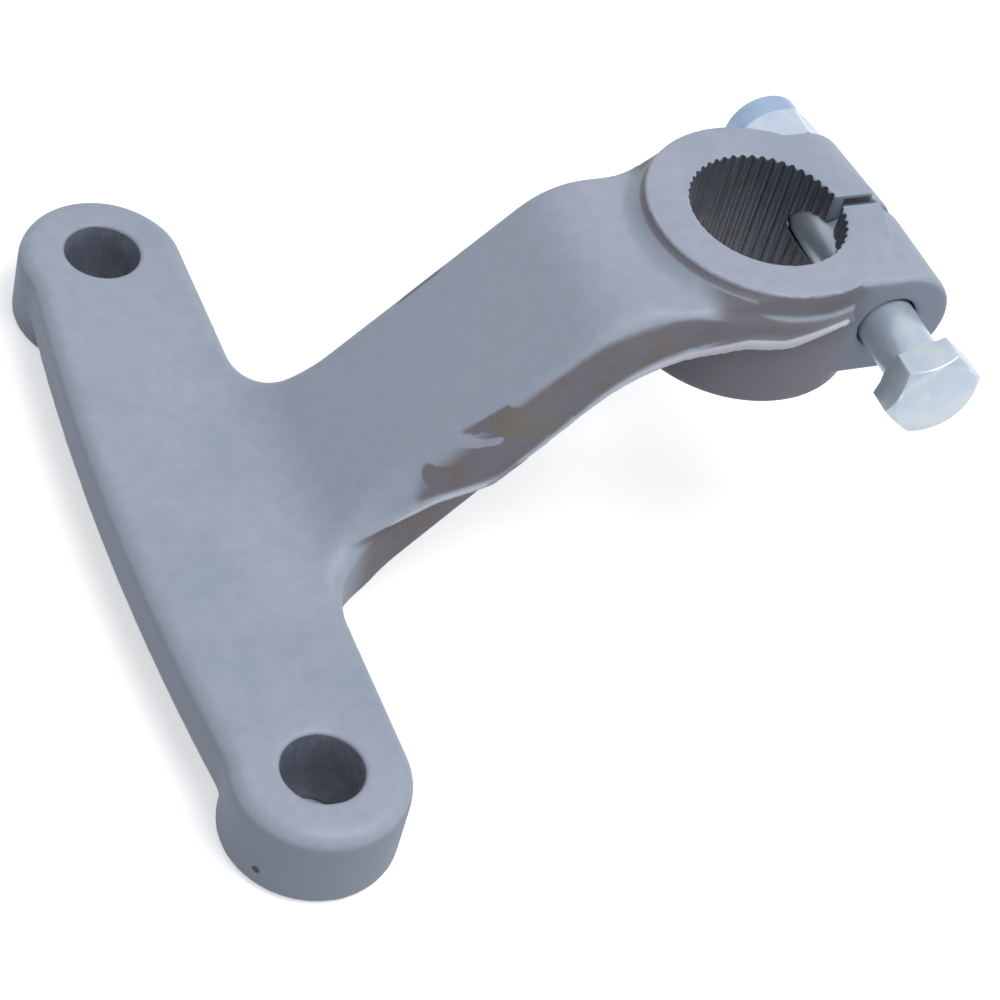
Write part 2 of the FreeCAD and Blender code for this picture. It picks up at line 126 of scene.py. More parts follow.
class Shader:
    # the node tree of a material or of the world, whose nodes are added through one method

    def __init__(self, owner, end):
        owner.use_nodes = True
        self.owner = owner
        self.tree = owner.node_tree
        self.end = self.tree.nodes[end]

    @cached_property
    def place(self):
        return self.node("TexCoord", {}, {}, "Object")

    def feed(self, socket, value):
        if isinstance(value, Signal):
            self.tree.links.new(value.socket, socket)
        else:
            socket.default_value = value

    def node(self, kind, settings, inputs, *outputs):
        # gives the node's outputs as signals, all of them or the named ones
        new = self.tree.nodes.new("ShaderNode" + kind)
        for key, value in settings.items():
            setattr(new, key, value)
        for key, value in inputs.items():
            self.feed(new.inputs[key], value)
        if not outputs:
            return [Signal(self, socket) for socket in new.outputs]
        found = [Signal(self, new.outputs[name]) for name in outputs]
        return found[0] if len(found) == 1 else found

    def noise(self, size, detail, roughness):
        # size is that of one blotch, in metres
        inputs = {"Vector": self.place, "Scale": 1 / size, "Detail": detail, "Roughness": roughness}
        return self.node("TexNoise", {}, inputs, "Fac")

    def axes(self, vector):
        return self.node("SeparateXYZ", {}, {0: vector})

    def blend(self, factor, first, second):
        settings = {"data_type": "RGBA", "blend_type": "MIX"}
        inputs = {"Factor": factor, 6: first, 7: second}
        return self.node("Mix", settings, inputs)[2]

    def bump(self, height, distance, strength):
        inputs = {"Height": height, "Distance": distance, "Strength": strength}
        return self.node("Bump", {}, inputs)[0]

    def finish(self, **sockets):
        for key, value in sockets.items():
            self.feed(self.end.inputs[key.replace("_", " ").title()], value)
        return self.owner


def newFinish(name):
    return Shader(bpy.data.materials.new(name), "Principled BSDF")


def newPiece(name, shape, *materials):
    mesh = bpy.data.meshes.new(name)
    shape.to_mesh(mesh)
    shape.free()
    for material in materials:
        mesh.materials.append(material)
    piece = bpy.data.objects.new(name, mesh)
    bpy.context.scene.collection.objects.link(piece)
    return piece


def awayFrom(x, y, centreX, centreY):
    offX = x - centreX
    offY = y - centreY
    return (offX * offX + offY * offY) ** 0.5


def segmentDistance(x, z, first, second):
    # distance in the side view from a short line, its ends in metres
    acrossX = second[0] - first[0]
    acrossZ = second[1] - first[1]
    square = acrossX * acrossX + acrossZ * acrossZ
    along = (x - first[0]) * (acrossX / square) + (z - first[1]) * (acrossZ / square)
    along = along.larger(0).smaller(1)
    return awayFrom(x - along * acrossX, z - along * acrossZ, first[0], first[1])


print("Camera")
view = {
    "place": Vector((-0.30500, -0.38151, 0.40779)),
    "right": Vector((0.9058, -0.3674, 0.2112)),
    "up": Vector((0.1347, 0.7222, 0.6785)),
    "lens": 104.4,
    "sensor": 36,
    "near": 0.05,
    "far": 20,
}


def makeCamera():
    data = bpy.data.cameras.new("camera")
    data.lens = view["lens"]
    data.sensor_width = view["sensor"]
    data.clip_start = view["near"]
    data.clip_end = view["far"]
    camera = bpy.data.objects.new("camera", data)
    back = view["right"].cross(view["up"]).normalized()
    up = back.cross(view["right"]).normalized()
    right = up.cross(back)
    turn = Matrix((right, up, back)).transposed().to_4x4()
    camera.matrix_world = Matrix.Translation(view["place"]) @ turn
    bpy.context.scene.collection.objects.link(camera)
    bpy.context.scene.camera = camera


makeCamera()
bpy.context.scene.view_settings.view_transform = "Standard"

print("Floor and light")
eye = {
    "x": -116 * mm,
    "y": 75 * mm,
    "top": 8.6 * mm,                # the taper's radius at the upper and the lower rim
    "low": 7.34 * mm,
    "chamfer": 0.4 * mm,
    "height": -32.7 * mm,
    "depth": 20.2 * mm,
    "steps": 96,
}
studio = {
    "floorSize": 6,
    "floorRough": 0.9,
    "floorColour": (0.93, 0.93, 0.93, 1),
    "glow": (0.5, 0.5, 0.5, 1),
    "noGlow": (0, 0, 0, 1),
    "bounceColour": (0.66, 0.67, 0.70, 1),
    "shadowUnderEye": (9 * mm, 14 * mm),
    "skyStrength": 0.42,
    "skySeen": 1,
    "skyColour": (0.93, 0.96, 1, 1),
    "lampHeight": 1.6,
    "lampSize": 1.1,
    "lampPower": 18,
    "lampOffset": (0.35, -0.55),
}


def makeFloor():
    shader = newFinish("paleFloor")
    camera, glossy = shader.node("LightPath", {}, {}, "Is Camera Ray", "Is Glossy Ray")
    x, y = shader.axes(shader.place)[:2]

    # a painted shadow: below the two eyes the floor doesn't glow, so that no light shows up through
    # them
    clear = awayFrom(x, abs(y), eye["x"], eye["y"]).between(*studio["shadowUnderEye"])
    seen = camera.larger(glossy) * clear
    colour = shader.blend(seen, studio["bounceColour"], studio["floorColour"])
    glow = shader.blend(seen, studio["noGlow"], studio["glow"])
    material = shader.finish(base_color=colour, roughness=studio["floorRough"],
                             emission_color=glow, emission_strength=1)
    shape = bmesh.new()
    bmesh.ops.create_grid(shape, x_segments=1, y_segments=1, size=studio["floorSize"] / 2)
    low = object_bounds()[0].z
    bmesh.ops.translate(shape, verts=shape.verts, vec=(0, 0, low))
    floor = newPiece("floor", shape, material)


def makeSky():
    # the camera and reflections see a white sky, the object gets less light from it
    world = bpy.data.worlds.new("sky")
    bpy.context.scene.world = world
    shader = Shader(world, "Background")
    camera, glossy = shader.node("LightPath", {}, {}, "Is Camera Ray", "Is Glossy Ray")
    inputs = {"Value": camera.larger(glossy), "To Min": studio["skyStrength"],
              "To Max": studio["skySeen"]}
    strength = shader.node("MapRange", {}, inputs)[0]
    shader.finish(color=studio["skyColour"], strength=strength)


def makeLamp():
    data = bpy.data.lights.new("softbox", "AREA")
    data.shape = "DISK"
    data.size = studio["lampSize"]
    data.energy = studio["lampPower"]
    lamp = bpy.data.objects.new("softbox", data)
    x, y = studio["lampOffset"]
    place = Vector((x, y, studio["lampHeight"]))
    lamp.location = place
    lamp.rotation_euler = place.to_track_quat("Z", "Y").to_euler()
    bpy.context.scene.collection.objects.link(lamp)


makeFloor()
makeSky()
makeLamp()

print("Finishes")
paint = {
    "top": srgb(168, 175, 191),
    "cool": srgb(156, 167, 184),
    "violet": srgb(172, 175, 193),
    # a painted shade for the sloping faces
    "slope": srgb(162, 171, 185),
    # the walls' colour, a painted shade
    "side": srgb(115, 113, 123),
    "brown": srgb(113, 105, 100),
    "olive": srgb(120, 117, 100),
    # a grey for the mottle on top, and the crossbar walls' painted shade
    "front": srgb(139, 147, 161),
    # a painted highlight on the flash ridge
    "flash": srgb(200, 200, 210),
    # the edges' colour, worn and given a painted highlight
    "edge": srgb(196, 201, 216),
    "pit": srgb(40, 40, 46),
    "large": (35 * mm, 3, 0.55),    # blotch size, detail and roughness of each noise
    "middle": (10 * mm, 4, 0.6),
    "small": (3.2 * mm, 4, 0.65),
    "fine": (0.9 * mm, 4, 0.6),
    "coolBand": (0.38, 0.62),       # the noise levels between which a tint comes in
    "violetBand": (0.35, 0.7),
    "mottleBand": (0.35, 0.68),
    "brownBand": (0.42, 0.62),
    "oliveBand": (0.3, 0.6),
    "violetShare": 0.5,             # how much of a tint there is where it is strongest
    "shadedSlopeShare": 0.8,
    "mottleShare": 0.22,
    "oliveShare": 0.6,
    "lightShare": 0.85,
    "flashShare": 0.8,
    "footShare": 0.85,
    "edgeShare": 0.6,
    "hollowShadeShare": 0.45,
    "brownMiddle": 0.6,             # the middle noise's part in the brown blotches
    "brownLoss": 0.7,               # how much of the brown is lost towards the hub
    "edgePoint": (0.53, 0.6),       # pointiness of an edge, worn and given a painted highlight, and of a hollow given painted shade
    "hollowPoint": (0.42, 0.48),
    "pointSwing": 0.03,
    "rough": 0.5,
    "roughSwing": 0.2,
    "wallRough": 0.12,
    "edgeSmooth": 0.1,
    "fineGrain": 0.5,
    "smallGrain": 0.7,
    "grainDepth": 0.08 * mm,
    "grainStrength": 0.6,
}
facing = {                          # how far a face looks up, or to a side for the last two
    "level": (0.8, 0.96),
    "sloping": (0.3, 0.6),
    "walls": (0.2, 0.62),
    "lightSide": (0.3, 0.6),
    "lobeSide": (0.2, 0.4),
}
patches = {                         # where the tints, the painted light and the painted shade lie on the arm, mostly in the side view
    "armStart": (-92 * mm, -86 * mm),
    "armEnd": (8 * mm, 16 * mm),
    "brownFade": (-40 * mm, 0),
    "oliveX": -57 * mm,
    "oliveZ": 1 * mm,
    "oliveReach": (3 * mm, 12 * mm),
    "tongueStart": (-74 * mm, -6.8 * mm),
    "tongueEnd": (-63.5 * mm, -4.2 * mm),
    "tongueReach": (0.7 * mm, 1.3 * mm),
    "tongueSwing": 1.2 * mm,
    "rootEnd": (-79.5 * mm, -77.5 * mm),
    "rootSwing": 3 * mm,
    "ridgeX": -74.4 * mm,
    "ridgeZ": -19 * mm,
    "ridgeSlope": 0.64,
    "ridgeFade": (0, 0.8 * mm),
    "flashFade": (0.25 * mm, 0.8 * mm),
    "upperStart": (-71.5 * mm, -2.8 * mm),
    "upperEnd": (-58 * mm, 3.5 * mm),
    "upperReach": 2.2 * mm,
    "lowerStart": (-75.5 * mm, -14.6 * mm),
    "lowerEnd": (-64 * mm, -11.5 * mm),
    "lowerReach": 2.6 * mm,
    "lobeFade": (0.8, 1.1),
    "lobeSwing": 1.1,
    "ringRim": (27.3 * mm, 27.9 * mm),
    "ringBottom": (28.7 * mm, 29.3 * mm),
    "ringStart": (-24 * mm, -18 * mm),
    "ringEnd": (12 * mm, 15 * mm),
    "footRadius": 27.4 * mm,
    "footWidth": (0.3 * mm, 0.8 * mm),
    "footBottom": (29 * mm, 29.6 * mm),
    "footTop": (30.2 * mm, 30.8 * mm),
    "footEnd": (2 * mm, 10 * mm),
}
darkSpots = [                       # centre and radius of each small pit, in mm
    (-131.3, -85.6, -47.5, 0.9),
    (-83.4, -22.6, -20.4, 0.5),
    (-81.0, -22.6, -13.5, 0.6),
]
pit = {"inner": 0.7, "outer": 1.3, "swing": 0.5 * mm}


def paintOnTop(shader, up, large, middle, small):
    # cool and violet clouds, the sloping faces plainer and a little darker as a painted shade, and a
    # fine mottle over all
    cool = shader.blend(large.between(*paint["coolBand"]), paint["top"], paint["cool"])
    violet = middle.between(*paint["violetBand"]) * paint["violetShare"]
    colour = shader.blend(violet, cool, paint["violet"])
    sloping = (1 - up.between(*facing["level"])) * up.between(*facing["sloping"])
    colour = shader.blend(sloping * paint["shadedSlopeShare"], colour, paint["slope"])
    mottle = small.between(*paint["mottleBand"]) * paint["mottleShare"]
    return shader.blend(mottle, colour, paint["front"])


def paintOnWalls(shader, x, z, middle, small, onArm):
    # the walls' colour: a painted shade, darker than the top, with brown scale under thin paint on
    # the two long sides, plainer on the crossbar
    blotches = middle * paint["brownMiddle"] + small * (1 - paint["brownMiddle"])
    brownLoss = x.between(*patches["brownFade"]) * paint["brownLoss"]
    brownShare = blotches.between(*paint["brownBand"]) * (1 - brownLoss)
    brown = shader.blend(brownShare, paint["side"], paint["brown"])
    oliveAway = awayFrom(x, z, patches["oliveX"], patches["oliveZ"])
    oliveShare = (1 - oliveAway.between(*patches["oliveReach"])) * middle.between(*paint["oliveBand"])
    brown = shader.blend(oliveShare * paint["oliveShare"], brown, paint["olive"])
    return shader.blend(onArm, paint["front"], brown)


def litPatches(x, z, small, onArm):
    # painted light: where a wall is painted as pale as the top, a tongue, and the root above the
    # ridge
    tongueAway = segmentDistance(x, z, patches["tongueStart"], patches["tongueEnd"])
    tongueAway = tongueAway + small.swing(patches["tongueSwing"])
    tongue = 1 - tongueAway.between(*patches["tongueReach"])
    ridge = (x - patches["ridgeX"]) * patches["ridgeSlope"] + patches["ridgeZ"]
    root = 1 - (x + small.swing(patches["rootSwing"])).between(*patches["rootEnd"])
    root = root * (z - ridge).between(*patches["ridgeFade"])
    return tongue.larger(root * onArm)


def shadedLobes(x, z, small):
    # painted shade: where the walls' dark colour reaches up over the rounded edge, in two lobes
    upper = segmentDistance(x, z, patches["upperStart"], patches["upperEnd"])
    lower = segmentDistance(x, z, patches["lowerStart"], patches["lowerEnd"])
    nearest = (upper / patches["upperReach"]).smaller(lower / patches["lowerReach"])
    return 1 - (nearest + small.swing(patches["lobeSwing"])).between(*patches["lobeFade"])


def shadeBelowRing(x, z, hubAway):
    # painted shade: the hub's shoulder beside the machined ring takes the walls' dark colour
    outside = hubAway.between(*patches["ringRim"])
    lower = 1 - z.between(*patches["ringBottom"])
    return outside * lower * x.between(*patches["ringStart"]) * (1 - x.between(*patches["ringEnd"]))


def ringFootShadow(x, z, hubAway):
    # a painted shadow: the dark line at the ring's foot
    line = 1 - abs(hubAway - patches["footRadius"]).between(*patches["footWidth"])
    level = z.between(*patches["footBottom"]) * (1 - z.between(*patches["footTop"]))
    return line * level * (1 - x.between(*patches["footEnd"]))


def smallPits(shader, fine):
    clear = 1
    for x, y, z, radius in darkSpots:
        inputs = {0: shader.place, 1: (x * mm, y * mm, z * mm)}
        away = shader.node("VectorMath", {"operation": "DISTANCE"}, inputs, "Value")
        away = away + fine.swing(pit["swing"])
        clear = away.between(radius * pit["inner"] * mm, radius * pit["outer"] * mm) * clear
    return 1 - clear


def forgedPaint():
    shader = newFinish("forgedPaint")
    x, y, z = shader.axes(shader.place)
    normal, pointiness = shader.node("NewGeometry", {}, {}, "Normal", "Pointiness")
    across, up = shader.axes(normal)[1:]
    sideways = abs(across)
    large = shader.noise(*paint["large"])
    middle = shader.noise(*paint["middle"])
    small = shader.noise(*paint["small"])
    fine = shader.noise(*paint["fine"])

    onArm = x.between(*patches["armStart"]) * (1 - x.between(*patches["armEnd"]))
    hubAway = awayFrom(x, y, 0, 0)
    flash = shader.node("Attribute", {"attribute_name": "flash"}, {}, "Fac")
    flash = flash.between(*patches["flashFade"])
    # painted light and shade: faces that don't look up, the two lobes and the hub's shoulder take the
    # walls' darker colour, except where the painted light lies and on the flash ridge
    light = litPatches(x, z, small, onArm) * sideways.between(*facing["lightSide"])
    lobes = shadedLobes(x, z, small) * sideways.between(*facing["lobeSide"])
    onWall = 1 - up.between(*facing["walls"])
    onWall = onWall.larger(lobes).larger(shadeBelowRing(x, z, hubAway))
    onWall = onWall * (1 - light * paint["lightShare"]) * (1 - flash)

    top = paintOnTop(shader, up, large, middle, small)
    walls = paintOnWalls(shader, x, z, middle, small, onArm)
    colour = shader.blend(onWall, top, walls)
    # a painted highlight along the flash ridge's upper face
    colour = shader.blend(flash * paint["flashShare"], colour, paint["flash"])
    # a painted shadow at the ring's foot
    footShadow = ringFootShadow(x, z, hubAway) * paint["footShare"]
    colour = shader.blend(footShadow, colour, paint["side"])
    # edges paler, as worn paint and as a painted highlight
    wearAndGlint = pointiness + small.swing(paint["pointSwing"])
    edge = wearAndGlint.between(*paint["edgePoint"])
    colour = shader.blend(edge * paint["edgeShare"], colour, paint["edge"])
    # hollows darker, a painted shade
    hollowShade = 1 - wearAndGlint.between(*paint["hollowPoint"])
    colour = shader.blend(hollowShade * paint["hollowShadeShare"], colour, paint["side"])
    colour = shader.blend(smallPits(shader, fine), colour, paint["pit"])

    rough = paint["rough"] + fine.swing(paint["roughSwing"])
    rough = rough + onWall * paint["wallRough"] - edge * paint["edgeSmooth"]
    grain = fine * paint["fineGrain"] + small * paint["smallGrain"]
    bumps = shader.bump(grain, paint["grainDepth"], paint["grainStrength"])
    return shader.finish(base_color=colour, roughness=rough, normal=bumps)


machined = {
    "steel": srgb(142, 147, 164),
    "dark": srgb(116, 121, 136),
    "stain": srgb(122, 113, 104),
    "shade": srgb(50, 52, 58),
    "chamfer": srgb(176, 180, 190),
    "middle": (9 * mm, 4, 0.6),
    "small": (2.2 * mm, 4, 0.6),
    "lineScale": 2600,              # fine lines round each hole, as a cutting tool leaves them
    "lineDetail": 2,
    "steelBand": (0.35, 0.65),
    "stainSmall": (0.45, 0.65),
    "stainMiddle": (0.4, 0.6),
    "stainShare": 0.8,
    "hubStart": (-60 * mm, -50 * mm),
    "shadeShare": 0.65,
    "chamferUp": (0.3, 0.6),
    "metallic": 0.2,
    "rough": 0.42,
    "roughSwing": 0.25,
    "lineGrain": 0.7,
    "smallGrain": 0.6,
    "grainDepth": 0.04 * mm,
    "grainStrength": 0.5,
}


def machinedSteel():
    # the serrated bore, the slot and the eyes, cut after the forging was painted
    shader = newFinish("machinedSteel")
    x, _, z = shader.axes(shader.place)
    up = shader.axes(shader.node("NewGeometry", {}, {}, "Normal"))[2]
    middle = shader.noise(*machined["middle"])
    small = shader.noise(*machined["small"])
    inputs = {"W": z, "Scale": machined["lineScale"], "Detail": machined["lineDetail"]}
    lines = shader.node("TexNoise", {"noise_dimensions": "1D"}, inputs, "Fac")

    steel = middle.between(*machined["steelBand"])
    colour = shader.blend(steel, machined["dark"], machined["steel"])
    stain = small.between(*machined["stainSmall"]) * middle.between(*machined["stainMiddle"])
    colour = shader.blend(stain * machined["stainShare"], colour, machined["stain"])
    inHub = x.between(*machined["hubStart"])
    colour = shader.blend(inHub * machined["shadeShare"], colour, machined["shade"])
    # a painted highlight: faces that look up, mostly the upper chamfers, are paler
    colour = shader.blend(up.between(*machined["chamferUp"]), colour, machined["chamfer"])
    rough = machined["rough"] + small.swing(machined["roughSwing"])
    grain = lines * machined["lineGrain"] + small * machined["smallGrain"]
    bumps = shader.bump(grain, machined["grainDepth"], machined["grainStrength"])
    return shader.finish(base_color=colour, metallic=machined["metallic"], roughness=rough,
                         normal=bumps)


zinc = {
    "bolt": {"pale": srgb(206, 215, 223), "cool": srgb(190, 203, 218), "green": srgb(192, 208, 202)},
    "nut": {"pale": srgb(170, 193, 220), "cool": srgb(156, 181, 214), "green": srgb(164, 191, 199)},
    # the edges' colour, wear of the plating and a painted glint
    "wearAndGlint": srgb(246, 249, 250),
    "large": (7 * mm, 2, 0.5),
    "middle": (2.2 * mm, 3, 0.6),
    "fine": (0.5 * mm, 3, 0.6),
    "coolBand": (0.35, 0.65),
    "greenBand": (0.5, 0.72),
    "greenShare": 0.5,
    "wearAndGlintPoint": (0.52, 0.6),
    "wearAndGlintShare": 0.5,
    "metallic": 0.45,
    "rough": 0.33,
    "roughSwing": 0.2,
    "fineGrain": 0.5,
    "middleGrain": 0.6,
    "grainDepth": 0.012 * mm,
    "grainStrength": 0.4,
}


def zincPlate(name, tints):
    shader = newFinish(name)
    large = shader.noise(*zinc["large"])
    middle = shader.noise(*zinc["middle"])
    fine = shader.noise(*zinc["fine"])
    colour = shader.blend(large.between(*zinc["coolBand"]), tints["pale"], tints["cool"])
    green = middle.between(*zinc["greenBand"]) * zinc["greenShare"]
    colour = shader.blend(green, colour, tints["green"])
    # edges paler, as wear of the plating and as a painted glint
    wearAndGlint = shader.node("NewGeometry", {}, {}, "Pointiness").between(*zinc["wearAndGlintPoint"])
    colour = shader.blend(wearAndGlint * zinc["wearAndGlintShare"], colour, zinc["wearAndGlint"])
    rough = zinc["rough"] + middle.swing(zinc["roughSwing"])
    grain = fine * zinc["fineGrain"] + middle * zinc["middleGrain"]
    bumps = shader.bump(grain, zinc["grainDepth"], zinc["grainStrength"])
    return shader.finish(base_color=colour, metallic=zinc["metallic"], roughness=rough, normal=bumps)


nylon = {
    "grey": srgb(196, 200, 204),
    "pale": srgb(212, 214, 214),
    "cloud": (3 * mm, 2, 0.5),
    "grain": (0.5 * mm, 2, 0.5),
    "rough": 0.45,
    "roughRise": 0.1,
    "grainDepth": 0.02 * mm,
    "grainStrength": 0.4,
}


def nylonRing():
    shader = newFinish("nylonRing")
    cloud = shader.noise(*nylon["cloud"])
    colour = shader.blend(cloud, nylon["grey"], nylon["pale"])
    rough = nylon["rough"] + cloud * nylon["roughRise"]
    bumps = shader.bump(shader.noise(*nylon["grain"]), nylon["grainDepth"], nylon["grainStrength"])
    return shader.finish(base_color=colour, roughness=rough, normal=bumps)


armPaint = forgedPaint()
boreSteel = machinedSteel()
boltZinc = zincPlate("boltZinc", zinc["bolt"])
nutZinc = zincPlate("nutZinc", zinc["nut"])
nylonCoat = nylonRing()


def dress(node, material):
    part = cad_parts[node]
    part.data.materials.clear()
    part.data.materials.append(material)


dress("clamp_nut", nutZinc)
dress("nut_insert", nylonCoat)

print("Forged arm")
arm = {
    "voxel": 0.55 * mm,
    "kept": 0.47,                   # share of the remesh's triangles that the piece keeps
    "smoothing": 6,
    "smoothFactor": 0.5,
    "waveSize": 12 * mm,
    "waveDepth": 0.05 * mm,
    "sharpAngle": math.radians(38),
    "cutSpare": 2 * mm,             # how far a cutter stands out of the face that it cuts
}
hub = {
    "crest": 17.05 * mm,            # the serrations' tips, round the bore
    "root": 17.5 * mm,
    "teeth": 48,
    "pointsPerTooth": 4,
    "steps": 192,
    "chamfer": 0.35 * mm,
    "top": 31.49 * mm,
    "ringBottom": 29.3 * mm,        # above it and within ringReach the face is machined
    "ringReach": 29 * mm,
    "boreReach": 20 * mm,           # nearer the axis nothing is softened
    "slotHalf": 1.37 * mm,
    "slotStart": 19.5 * mm,
    "slotLength": 30 * mm,
    "slotHeight": 40 * mm,
    "boltX": 21.1 * mm,
    "boltZ": 18.25 * mm,
    "boltHole": 6.93 * mm,
    "boltHoleLength": 70 * mm,
    "boltHoleSteps": 64,
}
wall = {
    "half": 22.6 * mm,              # half the arm's width between its plain side walls
    "rootRound": 17 * mm,
    "rootX": -80.4 * mm,            # where the round to the crossbar begins
    "flareX": -26 * mm,
    "flareSlope": 0.25,
    "touchX": -6.8 * mm,
    "hubRadius": 28.2 * mm,
    "flashEnd": 8 * mm,
    "flashReach": 1.2 * mm,
    "flashFade": 0.8 * mm,
}
partingLine = [                     # the flash ridge in the side view, in mm
    (-98, -34), (-82, -23.3), (-74, -19), (-65.3, -16.6), (-50, -3), (-42, 5.6), (-35, 10.6),
    (-27, 13.8), (-14, 19), (-6.5, 19.4), (5, 23.6), (30, 23.6),
]


def applied(piece):
    # works the piece's modifiers into its mesh
    bpy.context.view_layer.update()
    graph = bpy.context.evaluated_depsgraph_get()
    mesh = bpy.data.meshes.new_from_object(piece.evaluated_get(graph))
    piece.modifiers.clear()
    piece.data = mesh


def turnedTool(profile, x, y, steps):
    # a closed lathe shape about an upright axis at x, y, from radius and height pairs
    shape = bmesh.new()
    verts = [shape.verts.new((radius, 0, height)) for radius, height in profile]
    edges = [shape.edges.new(pair) for pair in zip(verts, verts[1:] + verts[:1])]
    bmesh.ops.spin(shape, geom=verts + edges, cent=(0, 0, 0), axis=(0, 0, 1), dvec=(0, 0, 0),
                   angle=math.tau, steps=steps, use_merge=True, use_duplicate=False)
    bmesh.ops.remove_doubles(shape, verts=shape.verts, dist=mergeReach)
    bmesh.ops.recalc_face_normals(shape, faces=shape.faces)
    bmesh.ops.translate(shape, verts=shape.verts, vec=(x, y, 0))
    return shape


def holeProfile(low, high, chamfer, bottom, top):
    # a hole from radius low to high whose rims are chamfered, cut well past both faces
    spare = arm["cutSpare"]
    return [(0, bottom - spare), (low + chamfer + spare, bottom - spare), (low, bottom + chamfer),
            (high, top - chamfer), (high + chamfer + spare, top + spare), (0, top + spare)]


def serratedBore():
    # a rod whose circle is pushed out to the roots at half its points
    count = hub["teeth"] * hub["pointsPerTooth"]
    shape = bmesh.new()
    made = bmesh.ops.create_circle(shape, cap_ends=True, segments=count, radius=hub["crest"])
    step = math.tau / count
    for vert in made["verts"]:
        index = round(math.atan2(vert.co.y, vert.co.x) / step)
        if index % hub["pointsPerTooth"] < hub["pointsPerTooth"] / 2:
            vert.co = vert.co.normalized() * hub["root"]
    low = -arm["cutSpare"]
    bmesh.ops.translate(shape, verts=shape.verts, vec=(0, 0, low))
    grown = bmesh.ops.extrude_face_region(shape, geom=shape.faces[:])["geom"]
    tops = [item for item in grown if isinstance(item, bmesh.types.BMVert)]
    bmesh.ops.translate(shape, verts=tops, vec=(0, 0, hub["top"] - 2 * low))
    bmesh.ops.recalc_face_normals(shape, faces=shape.faces)
    return shape


def slotTool():
    shape = bmesh.new()
    bmesh.ops.create_cube(shape, size=1)
    size = (hub["slotLength"], 2 * hub["slotHalf"], hub["slotHeight"])
    bmesh.ops.scale(shape, vec=size, verts=shape.verts)
    x = hub["slotStart"] + hub["slotLength"] / 2
    z = hub["slotHeight"] / 2 - 2 * arm["cutSpare"]
    bmesh.ops.translate(shape, vec=(x, 0, z), verts=shape.verts)
    return shape


def boltHoleTool():
    shape = bmesh.new()
    bmesh.ops.create_cone(shape, cap_ends=True, segments=hub["boltHoleSteps"],
                          radius1=hub["boltHole"], radius2=hub["boltHole"],
                          depth=hub["boltHoleLength"])
    turn = Matrix.Rotation(math.radians(90), 4, "X")
    place = Matrix.Translation((hub["boltX"], 0, hub["boltZ"]))
    bmesh.ops.transform(shape, matrix=place @ turn, verts=shape.verts)
    return shape


def holeTools():
    # the shapes that the machined faces are cut with, in the order of the cuts
    bore = holeProfile(hub["crest"], hub["crest"], hub["chamfer"], 0, hub["top"])
    taper = holeProfile(eye["low"], eye["top"], eye["chamfer"],
                        eye["height"] - eye["depth"], eye["height"])
    return [
        serratedBore(),
        turnedTool(bore, 0, 0, hub["steps"]),
        turnedTool(taper, eye["x"], -eye["y"], eye["steps"]),
        turnedTool(taper, eye["x"], eye["y"], eye["steps"]),
        slotTool(),
        boltHoleTool(),
    ]


def isForged(spot):
    # false on the hub's machined ring and near the bore
    away = math.hypot(spot.x, spot.y)
    onRing = spot.z > hub["ringBottom"] and away < hub["ringReach"]
    return not onRing and away > hub["boreReach"]


def wallHalf(x):
    # how far the plain side wall stands from the middle plane, seen from above
    if x > wall["touchX"]:
        return math.sqrt(max(wall["hubRadius"] ** 2 - x * x, 0))
    if x > wall["flareX"]:
        return wall["half"] + (x - wall["flareX"]) * wall["flareSlope"]
    rootRun = min(max(wall["rootX"] - x, 0), wall["rootRound"])
    return wall["half"] + wall["rootRound"] - math.sqrt(wall["rootRound"] ** 2 - rootRun ** 2)


def outsideWall(spot):
    # how far a point of the flash ridge stands out from the side wall, 0 away from the ridge
    if spot.x < partingLine[0][0] * mm or spot.x > wall["flashEnd"]:
        return 0
    for (startX, startZ), (endX, endZ) in zip(partingLine, partingLine[1:]):
        if startX * mm <= spot.x < endX * mm:
            slope = (endZ - startZ) / (endX - startX)
            height = startZ * mm + (spot.x - startX * mm) * slope
    inside = wall["flashReach"] + wall["flashFade"] - abs(spot.z - height)
    near = min(max(inside / wall["flashFade"], 0), 1)
    return max(abs(spot.y) - wallHalf(spot.x), 0) * near


def softenForging(mesh):
    # rounds the forged faces a little and gives them shallow waves, always inwards
    shape = bmesh.new()
    shape.from_mesh(mesh)
    forged = [vert for vert in shape.verts if isForged(vert.co)]
    for _ in range(arm["smoothing"]):
        bmesh.ops.smooth_vert(shape, verts=forged, factor=arm["smoothFactor"],
                              use_axis_x=True, use_axis_y=True, use_axis_z=True)
    shape.normal_update()
    for vert in forged:
        wave = noise.noise(vert.co / arm["waveSize"]) * 0.5 + 0.5
        vert.co -= vert.normal * (wave * arm["waveDepth"])
    shape.to_mesh(mesh)
    shape.free()


